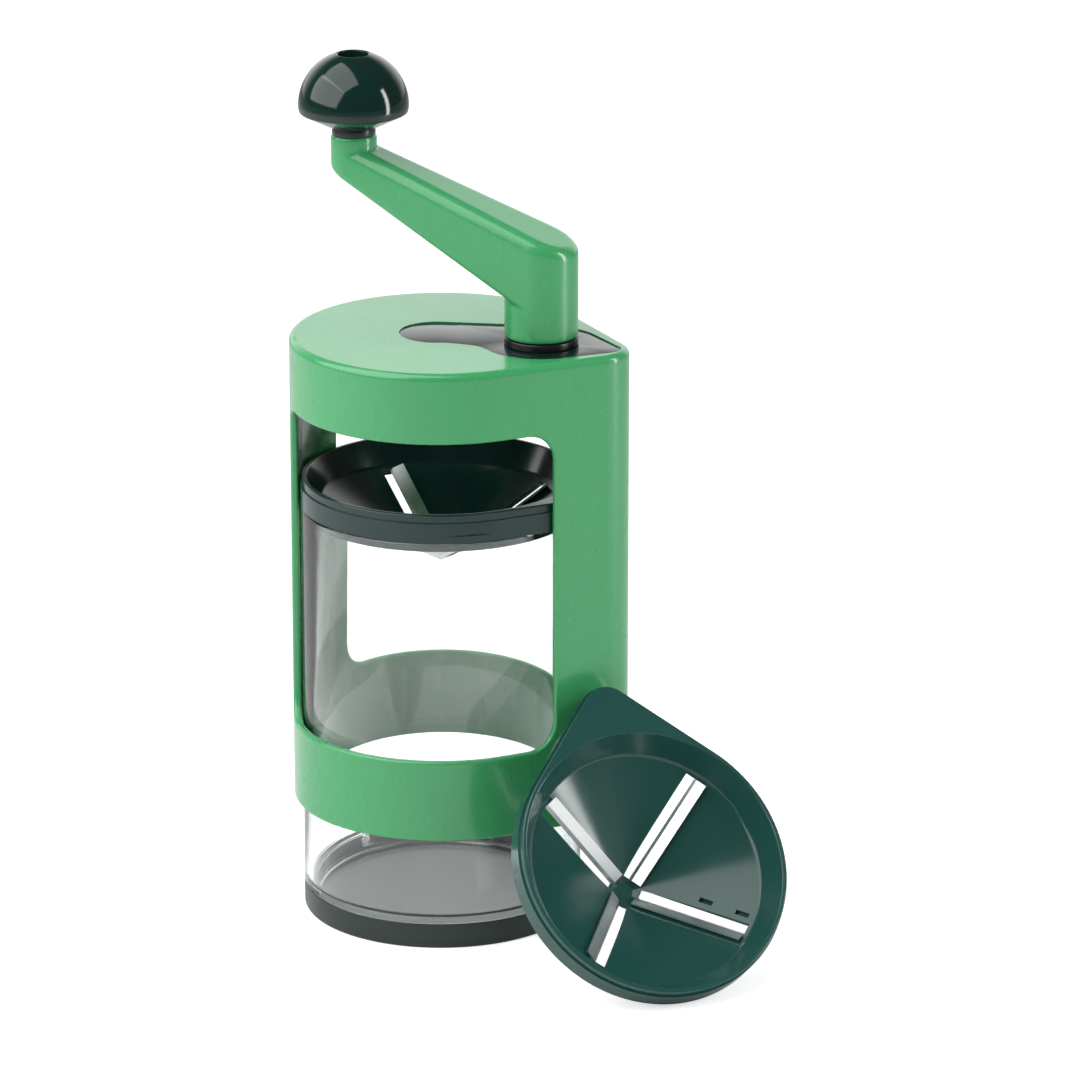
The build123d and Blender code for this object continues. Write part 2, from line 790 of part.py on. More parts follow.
def blade_section(gap=0.0):
    """The strip's cross-section, with its edge ground off to a bevel."""
    edge = Vector(edge_reach, edge_rise)
    back = Vector(-cos(blade_tilt), -sin(blade_tilt))
    down = Vector(sin(blade_tilt), -cos(blade_tilt))
    with BuildSketch() as section:
        with BuildLine():
            Polyline(
                edge,
                edge + back * blade_width,
                edge + back * blade_width + down * blade_thickness,
                edge + back * blade_bevel + down * blade_thickness,
                close=True,
            )
        make_face()
        if gap:
            offset(amount=gap, kind=Kind.INTERSECTION)
    return section.sketch


blade_shapes = []
for place in blade_places:
    with BuildPart() as blade:
        extrude(
            face_plane(place, slot_middle) * blade_section(),
            amount=slot_length / 2 - seat_gap,
            both=True,
        )
    blade_shapes.append(blade.part)

# ---- blade insert, in its own frame: its seat at 0 and its corner on +X ---------------------------
with BuildPart() as corner:
    prism(teardrop(jar_radius, insert_rounding), 0, band_height)
    prism(
        teardrop(jar_radius - rim_step, insert_rounding - rim_step), band_height, insert_height
    )
    with BuildSketch() as corner_hollow:
        add(teardrop(jar_radius - corner_wall, insert_rounding - corner_wall))
        Circle(jar_radius, mode=Mode.SUBTRACT)
    prism(corner_hollow.sketch, 0, insert_height - corner_plate, mode=Mode.SUBTRACT)
    bar(dish_radius + rim_step, 0, insert_height, mode=Mode.SUBTRACT)

with BuildPart() as bowl:
    with BuildSketch(Plane.XZ) as bowl_half:
        with BuildLine():
            Polyline(
                (0, funnel_point - funnel_drop),
                ((funnel_drop - funnel_point) / tan(funnel_angle), 0),
                (plug_radius - plug_wall, 0),
                (plug_radius - plug_wall, -plug_depth),
                (plug_radius, -plug_depth),
                (plug_radius, 0),
                (jar_radius, 0),
                (jar_radius, band_height),
                (jar_radius - rim_step, band_height),
                (jar_radius - rim_step, insert_height),
                (dish_radius, insert_height),
                (funnel_radius, funnel_edge),
                (0, funnel_point),
                close=True,
            )
        make_face()
        fillet(
            bowl_half.vertices().sort_by_distance((funnel_radius, funnel_edge))[0], funnel_blend
        )
    revolve(axis=Axis.Z)
    add(corner.part)
    fillet(bowl.edges().group_by(Axis.Z)[-1], rim_rounding)
    bar(centre_flat, funnel_point, funnel_point + centre_flat * tan(funnel_angle))
    for n, place in enumerate(blade_places):
        with BuildSketch(face_plane(place, slot_middle)):
            with Locations(((slot_ahead - slot_behind) / 2, 0)):
                Rectangle(slot_ahead + slot_behind, 4 * funnel_wall)
        extrude(amount=slot_length / 2, both=True, mode=Mode.SUBTRACT)
        with BuildSketch(face_plane(place, slot_middle)):
            with BuildLine():
                Polyline(
                    (0, 2 * funnel_wall),
                    (ramp_ahead, 2 * funnel_wall),
                    (ramp_ahead, 0),
                    (slot_ahead, -ramp_depth),
                    (0, -ramp_depth),
                    close=True,
                )
            make_face()
        extrude(amount=slot_length / 2, both=True, mode=Mode.SUBTRACT)
        extrude(
            face_plane(place, slot_middle) * blade_section(seat_gap),
            amount=slot_length / 2,
            both=True,
            mode=Mode.SUBTRACT,
        )
        if n == pip_blade - 1:
            for radius in pip_radii:
                with BuildSketch(face_plane(place, radius)):
                    with Locations((pip_offset, 0)):
                        Rectangle(pip_width, 2 * pip_depth)
                extrude(amount=pip_length / 2, both=True, mode=Mode.SUBTRACT)
    band_side = Plane.XY.rotated((0, 0, notch_angle))
    notch_middle = band_height - notch_height / 2 - rim_step
    with Locations(band_side.offset(notch_middle).location * Location((jar_radius, 0, 0))):
        Box(2 * notch_depth, notch_width, notch_height, mode=Mode.SUBTRACT)
        with Locations((0, (notch_width + tab_gap) / 2 + tab_gap, 0)):
            Box(2 * notch_depth, tab_gap, notch_height, mode=Mode.SUBTRACT)

# ---- the insert in use, and the spare one leaning on the sleeve -----------------------------------
insert_tip = jar_radius * sqrt(2) - insert_rounding * (sqrt(2) - 1)
band_drop = jar_radius * cos(lean)
plug_drop = plug_radius * cos(lean) + plug_depth * sin(lean)
lean_out = sleeve_radius + lean_gap + insert_tip * sin(lean)
lean_x, lean_y = wall_point(lean_along_wall, lean_out)

in_use = Plane.XY.offset(insert_seat)
leaning = Plane(
    origin=(lean_x, lean_y, max(band_drop, plug_drop) + table_gap),
    x_dir=(-sin(lean) / sqrt(2), sin(lean) / sqrt(2), cos(lean)),
    z_dir=(cos(lean) / sqrt(2), -cos(lean) / sqrt(2), sin(lean)),
)
for prefix, plane in (("insert", in_use), ("spare", leaning)):
    keep(f"{prefix}_bowl", plane.location * bowl.part)
    for n, shape in enumerate(blade_shapes, start=1):
        keep(f"{prefix}_blade_{n}", plane.location * shape)

os.makedirs("parts", exist_ok=True)
for name, part in pieces.items():
    export_step(part, f"parts/{name}.step")
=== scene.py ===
from math import acos, cos, pi, radians, sin, tan

import bpy
from mathutils import Matrix, Vector


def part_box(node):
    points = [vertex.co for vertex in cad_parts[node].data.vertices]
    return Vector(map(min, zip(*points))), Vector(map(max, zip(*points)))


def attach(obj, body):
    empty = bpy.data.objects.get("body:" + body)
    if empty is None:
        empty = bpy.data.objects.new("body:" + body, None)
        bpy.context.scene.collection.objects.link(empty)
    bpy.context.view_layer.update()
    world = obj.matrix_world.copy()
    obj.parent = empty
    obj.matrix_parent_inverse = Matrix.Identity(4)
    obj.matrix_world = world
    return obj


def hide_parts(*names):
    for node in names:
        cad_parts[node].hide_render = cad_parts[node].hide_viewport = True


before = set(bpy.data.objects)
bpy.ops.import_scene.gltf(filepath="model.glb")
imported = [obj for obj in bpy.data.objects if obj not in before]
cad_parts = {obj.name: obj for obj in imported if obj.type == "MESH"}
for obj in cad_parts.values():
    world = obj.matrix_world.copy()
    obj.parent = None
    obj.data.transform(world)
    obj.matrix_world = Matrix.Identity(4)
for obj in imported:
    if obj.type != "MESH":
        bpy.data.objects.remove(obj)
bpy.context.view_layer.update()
bpy.ops.object.select_all(action="DESELECT")
scene = bpy.context.scene
scene.view_settings.view_transform = "Standard"

# ---- camera ---------------------------------------------------------------------------------------
# The photograph was taken from far off with a long lens, a little above the machine's top, from
# the left of the sleeve's square corner.
camera_target = Vector((0, 0, 0.12))
camera_distance = 2.2
camera_turn = radians(20.1)
camera_height = radians(18.48)
camera_pan = radians(0.948)
camera_tilt = radians(0.332)
camera_sensor = 36
camera_lens = 210.17
nearest_seen = 0.1
farthest_seen = 20


def towards_camera(turn, height):
    """The direction from the machine to a camera at this turn and height."""
    return Vector((sin(turn) * cos(height), -cos(turn) * cos(height), sin(height)))


camera_data = bpy.data.cameras.new("camera")
camera_data.sensor_width = camera_sensor
camera_data.lens = camera_lens
camera_data.clip_start = nearest_seen
camera_data.clip_end = farthest_seen
camera = bpy.data.objects.new("camera", camera_data)
scene.collection.objects.link(camera)
scene.camera = camera
aim = towards_camera(camera_turn - camera_pan, camera_height - camera_tilt)
right = Vector((cos(camera_turn - camera_pan), sin(camera_turn - camera_pan), 0))
placed = Matrix((right, aim.cross(right), aim)).transposed().to_4x4()
placed.translation = camera_target + camera_distance * towards_camera(camera_turn, camera_height)
camera.matrix_world = placed

# ---- floor ----------------------------------------------------------------------------------------
# A white table top. It glows just enough to come out white, and still shows a soft shadow.
floor_half = 6.0
floor_glow = 0.62
floor_colour = (0.86, 0.86, 0.86, 1)
floor_roughness = 0.7


def formula(tree, operation, *values):
    """A math node on numbers or other nodes' outputs; gives its output."""
    node = tree.nodes.new("ShaderNodeMath")
    node.operation = operation
    for socket, value in zip(node.inputs, values):
        if isinstance(value, (int, float)):
            socket.default_value = value
        else:
            tree.links.new(value, socket)
    return node.outputs[0]


def seen_by_camera(tree):
    """1 where the camera looks, straight or through the clear jar, and 0 elsewhere."""
    paths = tree.nodes.new("ShaderNodeLightPath")
    camera_ray, clear_ray = paths.outputs["Is Camera Ray"], paths.outputs["Is Transmission Ray"]
    return formula(tree, "MAXIMUM", camera_ray, clear_ray)


bpy.ops.mesh.primitive_plane_add(size=2 * floor_half, location=(0, 0, 0))
floor = bpy.context.object
floor.name = "floor"
floor_paint = bpy.data.materials.new("white_table")
floor_paint.use_nodes = True
floor_tree = floor_paint.node_tree
paint = floor_tree.nodes["Principled BSDF"]
paint.inputs["Base Color"].default_value = floor_colour
paint.inputs["Roughness"].default_value = floor_roughness
paint.inputs["Emission Color"].default_value = (1, 1, 1, 1)
glow = formula(floor_tree, "MULTIPLY", seen_by_camera(floor_tree), floor_glow)
floor_tree.links.new(glow, paint.inputs["Emission Strength"])
floor.data.materials.append(floor_paint)

# ---- light ----------------------------------------------------------------------------------------
# A wide soft box at the front left, a tall narrow one at the right and a soft one overhead, in a
# white room that mirrors brightly only behind the machine, low down.
room_fill = 0.42
room_dark = 0.1
room_bright = 1.7
room_seen = 1.0
bright_side = (0.45, 0.9)     # how squarely behind the machine a direction is, from dark to bright
bright_height = (0.7, 0.3)    # how steeply up it goes, from dark to bright
lamps_aim_at = Vector((0, 0, 0.15))


def soft_box(name, turn, height, distance, width, length, power):
    """A flat lamp that faces the machine and that the camera doesn't see."""
    lamp = bpy.data.lights.new(name, "AREA")
    lamp.shape = "RECTANGLE"
    lamp.size = width
    lamp.size_y = length
    lamp.energy = power
    holder = bpy.data.objects.new(name, lamp)
    scene.collection.objects.link(holder)
    away = towards_camera(radians(turn), radians(height))
    holder.location = lamps_aim_at + distance * away
    holder.rotation_euler = away.to_track_quat("Z", "Y").to_euler()
    holder.visible_camera = False


def ramp(tree, value, start, end):
    """A smooth change from 0 to 1 as the value goes from start to end; gives its output."""
    node = tree.nodes.new("ShaderNodeMapRange")
    node.interpolation_type = "SMOOTHSTEP"
    node.inputs["From Min"].default_value = start
    node.inputs["From Max"].default_value = end
    tree.links.new(value, node.inputs["Value"])
    return node.outputs["Result"]


soft_box("soft_box_left", turn=-50, height=33, distance=1.1, width=1.5, length=0.8, power=11.0)
soft_box("strip_right", turn=96, height=14, distance=1.0, width=0.14, length=0.9, power=5.0)
soft_box("soft_box_top", turn=-46, height=68, distance=1.1, width=1.3, length=0.7, power=7.5)

room = bpy.data.worlds.new("white_room")
scene.world = room
room.use_nodes = True
nodes, links = room.node_tree.nodes, room.node_tree.links
nodes.clear()
direction = nodes.new("ShaderNodeTexCoord")
split = nodes.new("ShaderNodeSeparateXYZ")
links.new(direction.outputs["Generated"], split.inputs[0])
facing = nodes.new("ShaderNodeVectorMath")
facing.operation = "DOT_PRODUCT"
facing.inputs[1].default_value = (-sin(camera_turn), cos(camera_turn), 0)
links.new(direction.outputs["Generated"], facing.inputs[0])
behind = ramp(room.node_tree, facing.outputs["Value"], *bright_side)
low = ramp(room.node_tree, split.outputs["Z"], *bright_height)
far_side = nodes.new("ShaderNodeMapRange")
far_side.inputs["To Min"].default_value = room_dark
far_side.inputs["To Max"].default_value = room_bright
links.new(formula(room.node_tree, "MULTIPLY", behind, low), far_side.inputs["Value"])
paths = nodes.new("ShaderNodeLightPath")
mirrored = nodes.new("ShaderNodeMix")
links.new(paths.outputs["Is Glossy Ray"], mirrored.inputs["Factor"])
mirrored.inputs["A"].default_value = room_fill
links.new(far_side.outputs["Result"], mirrored.inputs["B"])
strength = nodes.new("ShaderNodeMix")
links.new(seen_by_camera(room.node_tree), strength.inputs["Factor"])
links.new(mirrored.outputs["Result"], strength.inputs["A"])
strength.inputs["B"].default_value = room_seen
background = nodes.new("ShaderNodeBackground")
links.new(strength.outputs["Result"], background.inputs["Strength"])
output = nodes.new("ShaderNodeOutputWorld")
links.new(background.outputs[0], output.inputs["Surface"])

# ---- jar foot -------------------------------------------------------------------------------------
# A soft dark ring with a floor, pressed onto the jar's lower end. It is moulded rubber, with a fine
# matt grain and a rounded lower edge.
foot_low, foot_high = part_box("jar_foot")
foot_radius = foot_high.x
foot_wall = 0.002
foot_floor = 0.002
foot_edge = 0.0012
foot_mouth_edge = 0.0003
foot_inner_corner = 0.0005
round_smooth_below = radians(35)


def start(name):
    """A new mesh of one vertex at the origin, open in edit mode."""
    bpy.ops.object.select_all(action="DESELECT")
    bpy.ops.mesh.primitive_plane_add(size=0.001, location=(0, 0, 0))
    piece = bpy.context.object
    piece.name = name
    piece.data.name = name
    bpy.ops.object.mode_set(mode="EDIT")
    bpy.ops.mesh.merge(type="CENTER")
    return piece


def rounded(corners, steps=6):
    """The points of an outline of (across, up, rounding) corners, with an arc at each rounding."""
    points = []
    for n, (x, z, rounding) in enumerate(corners):
        here = Vector((x, z))
        if not rounding or n in (0, len(corners) - 1):
            points.append(here)
            continue
        back = (Vector(corners[n - 1][:2]) - here).normalized()
        ahead = (Vector(corners[n + 1][:2]) - here).normalized()
        half = back.angle(ahead) / 2
        centre = here + (back + ahead).normalized() * rounding / sin(half)
        first = here + back * rounding / tan(half) - centre
        last = here + ahead * rounding / tan(half) - centre
        for step in range(steps + 1):
            points.append(centre + rounding * first.slerp(last, step / steps))
    return points


def spun(name, outline, centre=(0, 0), steps=128):
    """A round piece: its half outline, extruded point by point, then spun about an upright axis."""
    piece = start(name)
    here = Vector((0, 0, 0))
    for n, point in enumerate(outline):
        there = Vector((centre[0] + point[0], centre[1], point[1]))
        if n:
            bpy.ops.mesh.extrude_vertices_move(TRANSFORM_OT_translate={"value": there - here})
        else:
            bpy.ops.transform.translate(value=there)
        here = there
    bpy.ops.mesh.select_all(action="SELECT")
    bpy.ops.mesh.spin(steps=steps, angle=2 * pi, center=(*centre, 0), axis=(0, 0, 1))
    bpy.ops.mesh.select_all(action="SELECT")
    bpy.ops.mesh.remove_doubles(threshold=1e-6)
    bpy.ops.mesh.normals_make_consistent(inside=False)
    bpy.ops.object.mode_set(mode="OBJECT")
    bpy.ops.object.shade_smooth_by_angle(angle=round_smooth_below)
    return piece


def group(name, inputs, outputs):
    """An empty group of shader nodes with named sockets, and its two ends."""
    tree = bpy.data.node_groups.new(name, "ShaderNodeTree")
    for label, kind in inputs:
        tree.interface.new_socket(label, in_out="INPUT", socket_type=kind)
    for label, kind in outputs:
        tree.interface.new_socket(label, in_out="OUTPUT", socket_type=kind)
    return tree, tree.nodes.new("NodeGroupInput"), tree.nodes.new("NodeGroupOutput")


def noise(tree, size, detail, stretch=(1, 1, 1)):
    """Noise on the piece's own coordinates, whose spots are about 1/size metres across."""
    place = tree.nodes.new("ShaderNodeTexCoord")
    mapping = tree.nodes.new("ShaderNodeMapping")
    mapping.inputs["Scale"].default_value = stretch
    tree.links.new(place.outputs["Object"], mapping.inputs["Vector"])
    spots = tree.nodes.new("ShaderNodeTexNoise")
    spots.inputs["Detail"].default_value = detail
    tree.links.new(mapping.outputs[0], spots.inputs["Vector"])
    if isinstance(size, (int, float)):
        spots.inputs["Scale"].default_value = size
    else:
        tree.links.new(size, spots.inputs["Scale"])
    return spots.outputs["Fac"]


# Worn edges with a painted highlight: where a piece turns sharply, handling has rubbed it, and the
# same mask lightens the colour there as a painted edge highlight.
edge_wear_and_highlight, ends_in, ends_out = group(
    "edge_wear_and_highlight",
    [("Width", "NodeSocketFloat"), ("Amount", "NodeSocketFloat")],
    [("Mask", "NodeSocketFloat")],
)
softened = edge_wear_and_highlight.nodes.new("ShaderNodeBevel")
softened.samples = 4
edge_wear_and_highlight.links.new(ends_in.outputs["Width"], softened.inputs["Radius"])
surface = edge_wear_and_highlight.nodes.new("ShaderNodeNewGeometry")
facing = edge_wear_and_highlight.nodes.new("ShaderNodeVectorMath")
facing.operation = "DOT_PRODUCT"
edge_wear_and_highlight.links.new(softened.outputs[0], facing.inputs[0])
edge_wear_and_highlight.links.new(surface.outputs["Normal"], facing.inputs[1])
turned = formula(edge_wear_and_highlight, "SUBTRACT", 1.0, facing.outputs["Value"])
patchy = formula(edge_wear_and_highlight, "MULTIPLY", noise(edge_wear_and_highlight, 160.0, 3), 9.0)
rubbed_and_highlit = formula(edge_wear_and_highlight, "MULTIPLY", turned, patchy)
strong = formula(edge_wear_and_highlight, "MULTIPLY", rubbed_and_highlit, ends_in.outputs["Amount"])
edge_wear_and_highlight.links.new(formula(edge_wear_and_highlight, "MINIMUM", strong, 1.0), ends_out.inputs["Mask"])

# Moulded skin: the fine grain of a mould, slow changes of shade and gloss, and rubbed edges
# lightened as a painted edge highlight.
moulded_skin, ends_in, ends_out = group(
    "moulded_skin",
    [
        ("Colour", "NodeSocketColor"),
        ("Shade Change", "NodeSocketFloat"),
        ("Grain Size", "NodeSocketFloat"),
        ("Grain Height", "NodeSocketFloat"),
        ("Roughness", "NodeSocketFloat"),
        ("Gloss Change", "NodeSocketFloat"),
        ("Edge Width", "NodeSocketFloat"),
        ("Edge Wear", "NodeSocketFloat"),
    ],
    [
        ("Colour", "NodeSocketColor"),
        ("Roughness", "NodeSocketFloat"),
        ("Normal", "NodeSocketVector"),
    ],
)
edges_worn_and_highlit = moulded_skin.nodes.new("ShaderNodeGroup")
edges_worn_and_highlit.node_tree = edge_wear_and_highlight
moulded_skin.links.new(ends_in.outputs["Edge Width"], edges_worn_and_highlit.inputs["Width"])
moulded_skin.links.new(ends_in.outputs["Edge Wear"], edges_worn_and_highlit.inputs["Amount"])
slow = formula(moulded_skin, "SUBTRACT", noise(moulded_skin, 22.0, 3), 0.5)
shade = formula(
    moulded_skin, "MULTIPLY_ADD", slow, ends_in.outputs["Shade Change"], 1.0
)
# Edges come out lighter: rubbed wear together with a painted edge highlight.
shade = formula(moulded_skin, "MULTIPLY_ADD", edges_worn_and_highlit.outputs["Mask"], 0.35, shade)
shaded = moulded_skin.nodes.new("ShaderNodeHueSaturation")
moulded_skin.links.new(shade, shaded.inputs["Value"])
moulded_skin.links.new(ends_in.outputs["Colour"], shaded.inputs["Color"])
moulded_skin.links.new(shaded.outputs[0], ends_out.inputs["Colour"])
streaks = formula(moulded_skin, "SUBTRACT", noise(moulded_skin, 90.0, 4, (1, 1, 0.4)), 0.5)
rough = formula(
    moulded_skin,
    "MULTIPLY_ADD",
    streaks,
    ends_in.outputs["Gloss Change"],
    ends_in.outputs["Roughness"],
)
rough = formula(moulded_skin, "MULTIPLY_ADD", edges_worn_and_highlit.outputs["Mask"], 0.12, rough)
moulded_skin.links.new(rough, ends_out.inputs["Roughness"])
grain = moulded_skin.nodes.new("ShaderNodeBump")
moulded_skin.links.new(
    noise(moulded_skin, ends_in.outputs["Grain Size"], 2), grain.inputs["Height"]
)
moulded_skin.links.new(ends_in.outputs["Grain Height"], grain.inputs["Distance"])
moulded_skin.links.new(grain.outputs[0], ends_out.inputs["Normal"])


def finish_with(tree, name, **values):
    """A new material whose shader takes colour, roughness and normal from a group of nodes."""
    material = bpy.data.materials.new(name)
    material.use_nodes = True
    skin = material.node_tree.nodes.new("ShaderNodeGroup")
    skin.node_tree = tree
    for label, value in values.items():
        skin.inputs[label.replace("_", " ")].default_value = value
    shader = material.node_tree.nodes["Principled BSDF"]
    material.node_tree.links.new(skin.outputs["Colour"], shader.inputs["Base Color"])
    material.node_tree.links.new(skin.outputs["Roughness"], shader.inputs["Roughness"])
    material.node_tree.links.new(skin.outputs["Normal"], shader.inputs["Normal"])
    return material


def dress(material, *names):
    """Gives CAD nodes a material in place of their plain one."""
    for name in names:
        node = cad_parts[name]
        node.data.materials.clear()
        node.data.materials.append(material)


def fit(piece, material, body, slot_name, *nodes):
    """Gives a new piece its material and its body, and hides the CAD nodes that it stands for."""
    piece.data.materials.clear()
    piece.data.materials.append(material)
    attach(piece, body)
    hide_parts(*nodes)


rubber = finish_with(
    moulded_skin,
    "foot_rubber",
    Colour=(0.014, 0.026, 0.023, 1),
    Shade_Change=0.3,
    Grain_Size=3000,
    Grain_Height=0.00003,
    Roughness=0.34,
    Gloss_Change=0.2,
    Edge_Width=0.0004,
    Edge_Wear=0.6,
)

foot = spun(
    "jar_foot_ring",
    rounded([
        (0, 0, 0),
        (foot_radius, 0, foot_edge),
        (foot_radius, foot_high.z, foot_mouth_edge),
        (foot_radius - foot_wall, foot_high.z, foot_mouth_edge),
        (foot_radius - foot_wall, foot_floor, foot_inner_corner),
        (0, foot_floor, 0),
    ]),
)
fit(foot, rubber, "jar", "foot_rubber", "jar_foot")

# ---- jar ------------------------------------------------------------------------------------------
# The round jar is moulded in clear, polished plastic. Its lower end steps in to take the foot, its
# inner corner is well rounded, and its rim carries the insert.
jar_low, jar_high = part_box("jar")
jar_radius = jar_high.x
jar_wall = 0.0022
jar_floor = 0.0025
jar_seat_gap = 0.00005
jar_step = jar_radius - foot_wall - jar_seat_gap
jar_step_top = foot_high.z + jar_seat_gap
jar_inner_corner = 0.0022
jar_rim_edge = 0.0008

clear_plastic = bpy.data.materials.new("jar_plastic")
clear_plastic.use_nodes = True
nodes, links = clear_plastic.node_tree.nodes, clear_plastic.node_tree.links
shader = nodes["Principled BSDF"]
shader.inputs["Base Color"].default_value = (0.965, 0.985, 0.98, 1)
shader.inputs["Roughness"].default_value = 0.02
shader.inputs["IOR"].default_value = 1.49
shader.inputs["Transmission Weight"].default_value = 1.0
flow = nodes.new("ShaderNodeBump")
flow.inputs["Distance"].default_value = 0.0006
flow.inputs["Strength"].default_value = 0.25
links.new(noise(clear_plastic.node_tree, 28.0, 1, (1, 1, 0.25)), flow.inputs["Height"])
links.new(flow.outputs[0], shader.inputs["Normal"])
tint = nodes.new("ShaderNodeVolumeAbsorption")
tint.inputs["Color"].default_value = (0.62, 0.74, 0.7, 1)
tint.inputs["Density"].default_value = 26
links.new(tint.outputs[0], nodes["Material Output"].inputs["Volume"])

jar = spun(
    "clear_jar",
    rounded([
        (0, jar_low.z, 0),
        (jar_step, jar_low.z, 0.001),
        (jar_step, jar_step_top, 0.0004),
        (jar_radius, jar_step_top, 0.0005),
        (jar_radius, jar_high.z, jar_rim_edge),
        (jar_radius - jar_wall, jar_high.z, jar_rim_edge),
        (jar_radius - jar_wall, foot_high.z + jar_wall, 0.0015),
        (jar_step - jar_wall, foot_high.z + jar_wall, 0.0005),
        (jar_step - jar_wall, foot_floor + jar_floor, jar_inner_corner),
        (0, foot_floor + jar_floor, 0),
    ]),
)
fit(jar, clear_plastic, "jar", "jar_plastic", "jar")

# ---- blade insert ---------------------------------------------------------------------------------
# The insert that sits on the jar's rim is a round band with a square corner and a funnel whose four
# slots hold the blades. It is moulded in dark green, polished plastic, which looks nearly black in
# the shade inside the sleeve. Both inserts are the same moulding; the one in use gets a darker green
# as painted shade.
bowl_finishes = [
    ("spare_bowl", "insert_plastic", (0.014, 0.068, 0.058, 1)),
    # the insert in use: the same plastic, darkened as painted shade for the sleeve's shade
    ("insert_bowl", "insert_plastic_painted_shade", (0.007, 0.028, 0.026, 1)),
]
for node, name, colour in bowl_finishes:
    bowl_plastic = finish_with(
        moulded_skin,
        name,
        Colour=colour,
        Shade_Change=0.12,
        Grain_Size=2600,
        Grain_Height=0.000008,
        Roughness=0.16,
        Gloss_Change=0.1,
        Edge_Width=0.0005,
        Edge_Wear=1.0,
    )
    dress(bowl_plastic, node)

# Ground steel: fine lines along the sheet, with slow changes of gloss.
ground_steel, ends_in, ends_out = group(
    "ground_steel",
    [
        ("Colour", "NodeSocketColor"),
        ("Line Height", "NodeSocketFloat"),
        ("Roughness", "NodeSocketFloat"),
        ("Gloss Change", "NodeSocketFloat"),
    ],
    [
        ("Colour", "NodeSocketColor"),
        ("Roughness", "NodeSocketFloat"),
        ("Normal", "NodeSocketVector"),
    ],
)
lines = noise(ground_steel, 700.0, 3, (1, 1, 7))
clouds = formula(ground_steel, "SUBTRACT", noise(ground_steel, 120.0, 3), 0.5)
shaded = ground_steel.nodes.new("ShaderNodeHueSaturation")
ground_steel.links.new(
    formula(ground_steel, "MULTIPLY_ADD", clouds, 0.18, 1.0), shaded.inputs["Value"]
)
ground_steel.links.new(ends_in.outputs["Colour"], shaded.inputs["Color"])
ground_steel.links.new(shaded.outputs[0], ends_out.inputs["Colour"])
rough = formula(
    ground_steel,
    "MULTIPLY_ADD",
    clouds,
    ends_in.outputs["Gloss Change"],
    ends_in.outputs["Roughness"],
)
ground_steel.links.new(rough, ends_out.inputs["Roughness"])
scratch = ground_steel.nodes.new("ShaderNodeBump")
ground_steel.links.new(lines, scratch.inputs["Height"])
ground_steel.links.new(ends_in.outputs["Line Height"], scratch.inputs["Distance"])
ground_steel.links.new(scratch.outputs[0], ends_out.inputs["Normal"])

blade_steel = finish_with(
    ground_steel,
    "blade_steel",
    Colour=(0.93, 0.94, 0.95, 1),
    Line_Height=0.00001,
    Roughness=0.34,
    Gloss_Change=0.15,
)
blade_steel.node_tree.nodes["Principled BSDF"].inputs["Metallic"].default_value = 1.0
for prefix in ("insert", "spare"):
    for n in range(1, 5):
        dress(blade_steel, f"{prefix}_blade_{n}")

# ---- sleeve ---------------------------------------------------------------------------------------
# The sleeve is one moulding in light green, lightly glossy plastic. It slides over the jar, and
# turns into a square corner on the crank's side.
green_plastic = finish_with(
    moulded_skin,
    "sleeve_plastic",
    Colour=(0.045, 0.33, 0.115, 1),
    Shade_Change=0.06,
    Grain_Size=2200,
    Grain_Height=0.000010,
    Roughness=0.27,
    Gloss_Change=0.08,
    Edge_Width=0.0006,
    Edge_Wear=0.8,
)
shader = green_plastic.node_tree.nodes["Principled BSDF"]
shader.inputs["Coat Weight"].default_value = 0.45
shader.inputs["Coat Roughness"].default_value = 0.1
dress(green_plastic, "sleeve_frame")

# ---- top inlay ------------------------------------------------------------------------------------
# A thin keyhole-shaped plate, let into the sleeve's top round the crank. It is very dark green with
# a high gloss.
dark_gloss = finish_with(
    moulded_skin,
    "inlay_plastic",
    Colour=(0.006, 0.018, 0.016, 1),
    Shade_Change=0.1,
    Grain_Size=1800,
    Grain_Height=0.000006,
    Roughness=0.1,
    Gloss_Change=0.08,
    Edge_Width=0.0004,
    Edge_Wear=0.6,
)
sharp_turn = radians(40)
softened_smooth_below = radians(32)


def joined_copy(node, name):
    """A copy of a piece whose loose triangles are joined, so that its edges can be worked on."""
    piece = bpy.data.objects.new(name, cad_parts[node].data.copy())
    scene.collection.objects.link(piece)
    bpy.ops.object.select_all(action="DESELECT")
    bpy.context.view_layer.objects.active = piece
    piece.select_set(True)
    bpy.ops.mesh.customdata_custom_splitnormals_clear()
    bpy.ops.object.mode_set(mode="EDIT")
    bpy.ops.mesh.select_all(action="SELECT")
    bpy.ops.mesh.remove_doubles(threshold=1e-6)
    bpy.ops.object.mode_set(mode="OBJECT")
    return piece


def apply_modifier(piece, kind, **settings):
    """Adds one modifier to a piece and applies it."""
    modifier = piece.modifiers.new(kind.lower(), kind)
    for label, value in settings.items():
        setattr(modifier, label, value)
    bpy.ops.object.modifier_apply(modifier=modifier.name)


def softened_copy(node, name, width):
    """A joined copy whose sharp edges are broken by a small round of the given width."""
    piece = joined_copy(node, name)
    apply_modifier(
        piece,
        "BEVEL",
        width=width,
        segments=3,
        limit_method="ANGLE",
        angle_limit=sharp_turn,
        harden_normals=False,
    )
    bpy.ops.object.shade_smooth_by_angle(angle=softened_smooth_below)
    return piece


inlay = softened_copy("top_inlay", "keyhole_inlay", 0.00025)
fit(inlay, dark_gloss, "housing", "inlay_plastic", "top_inlay")

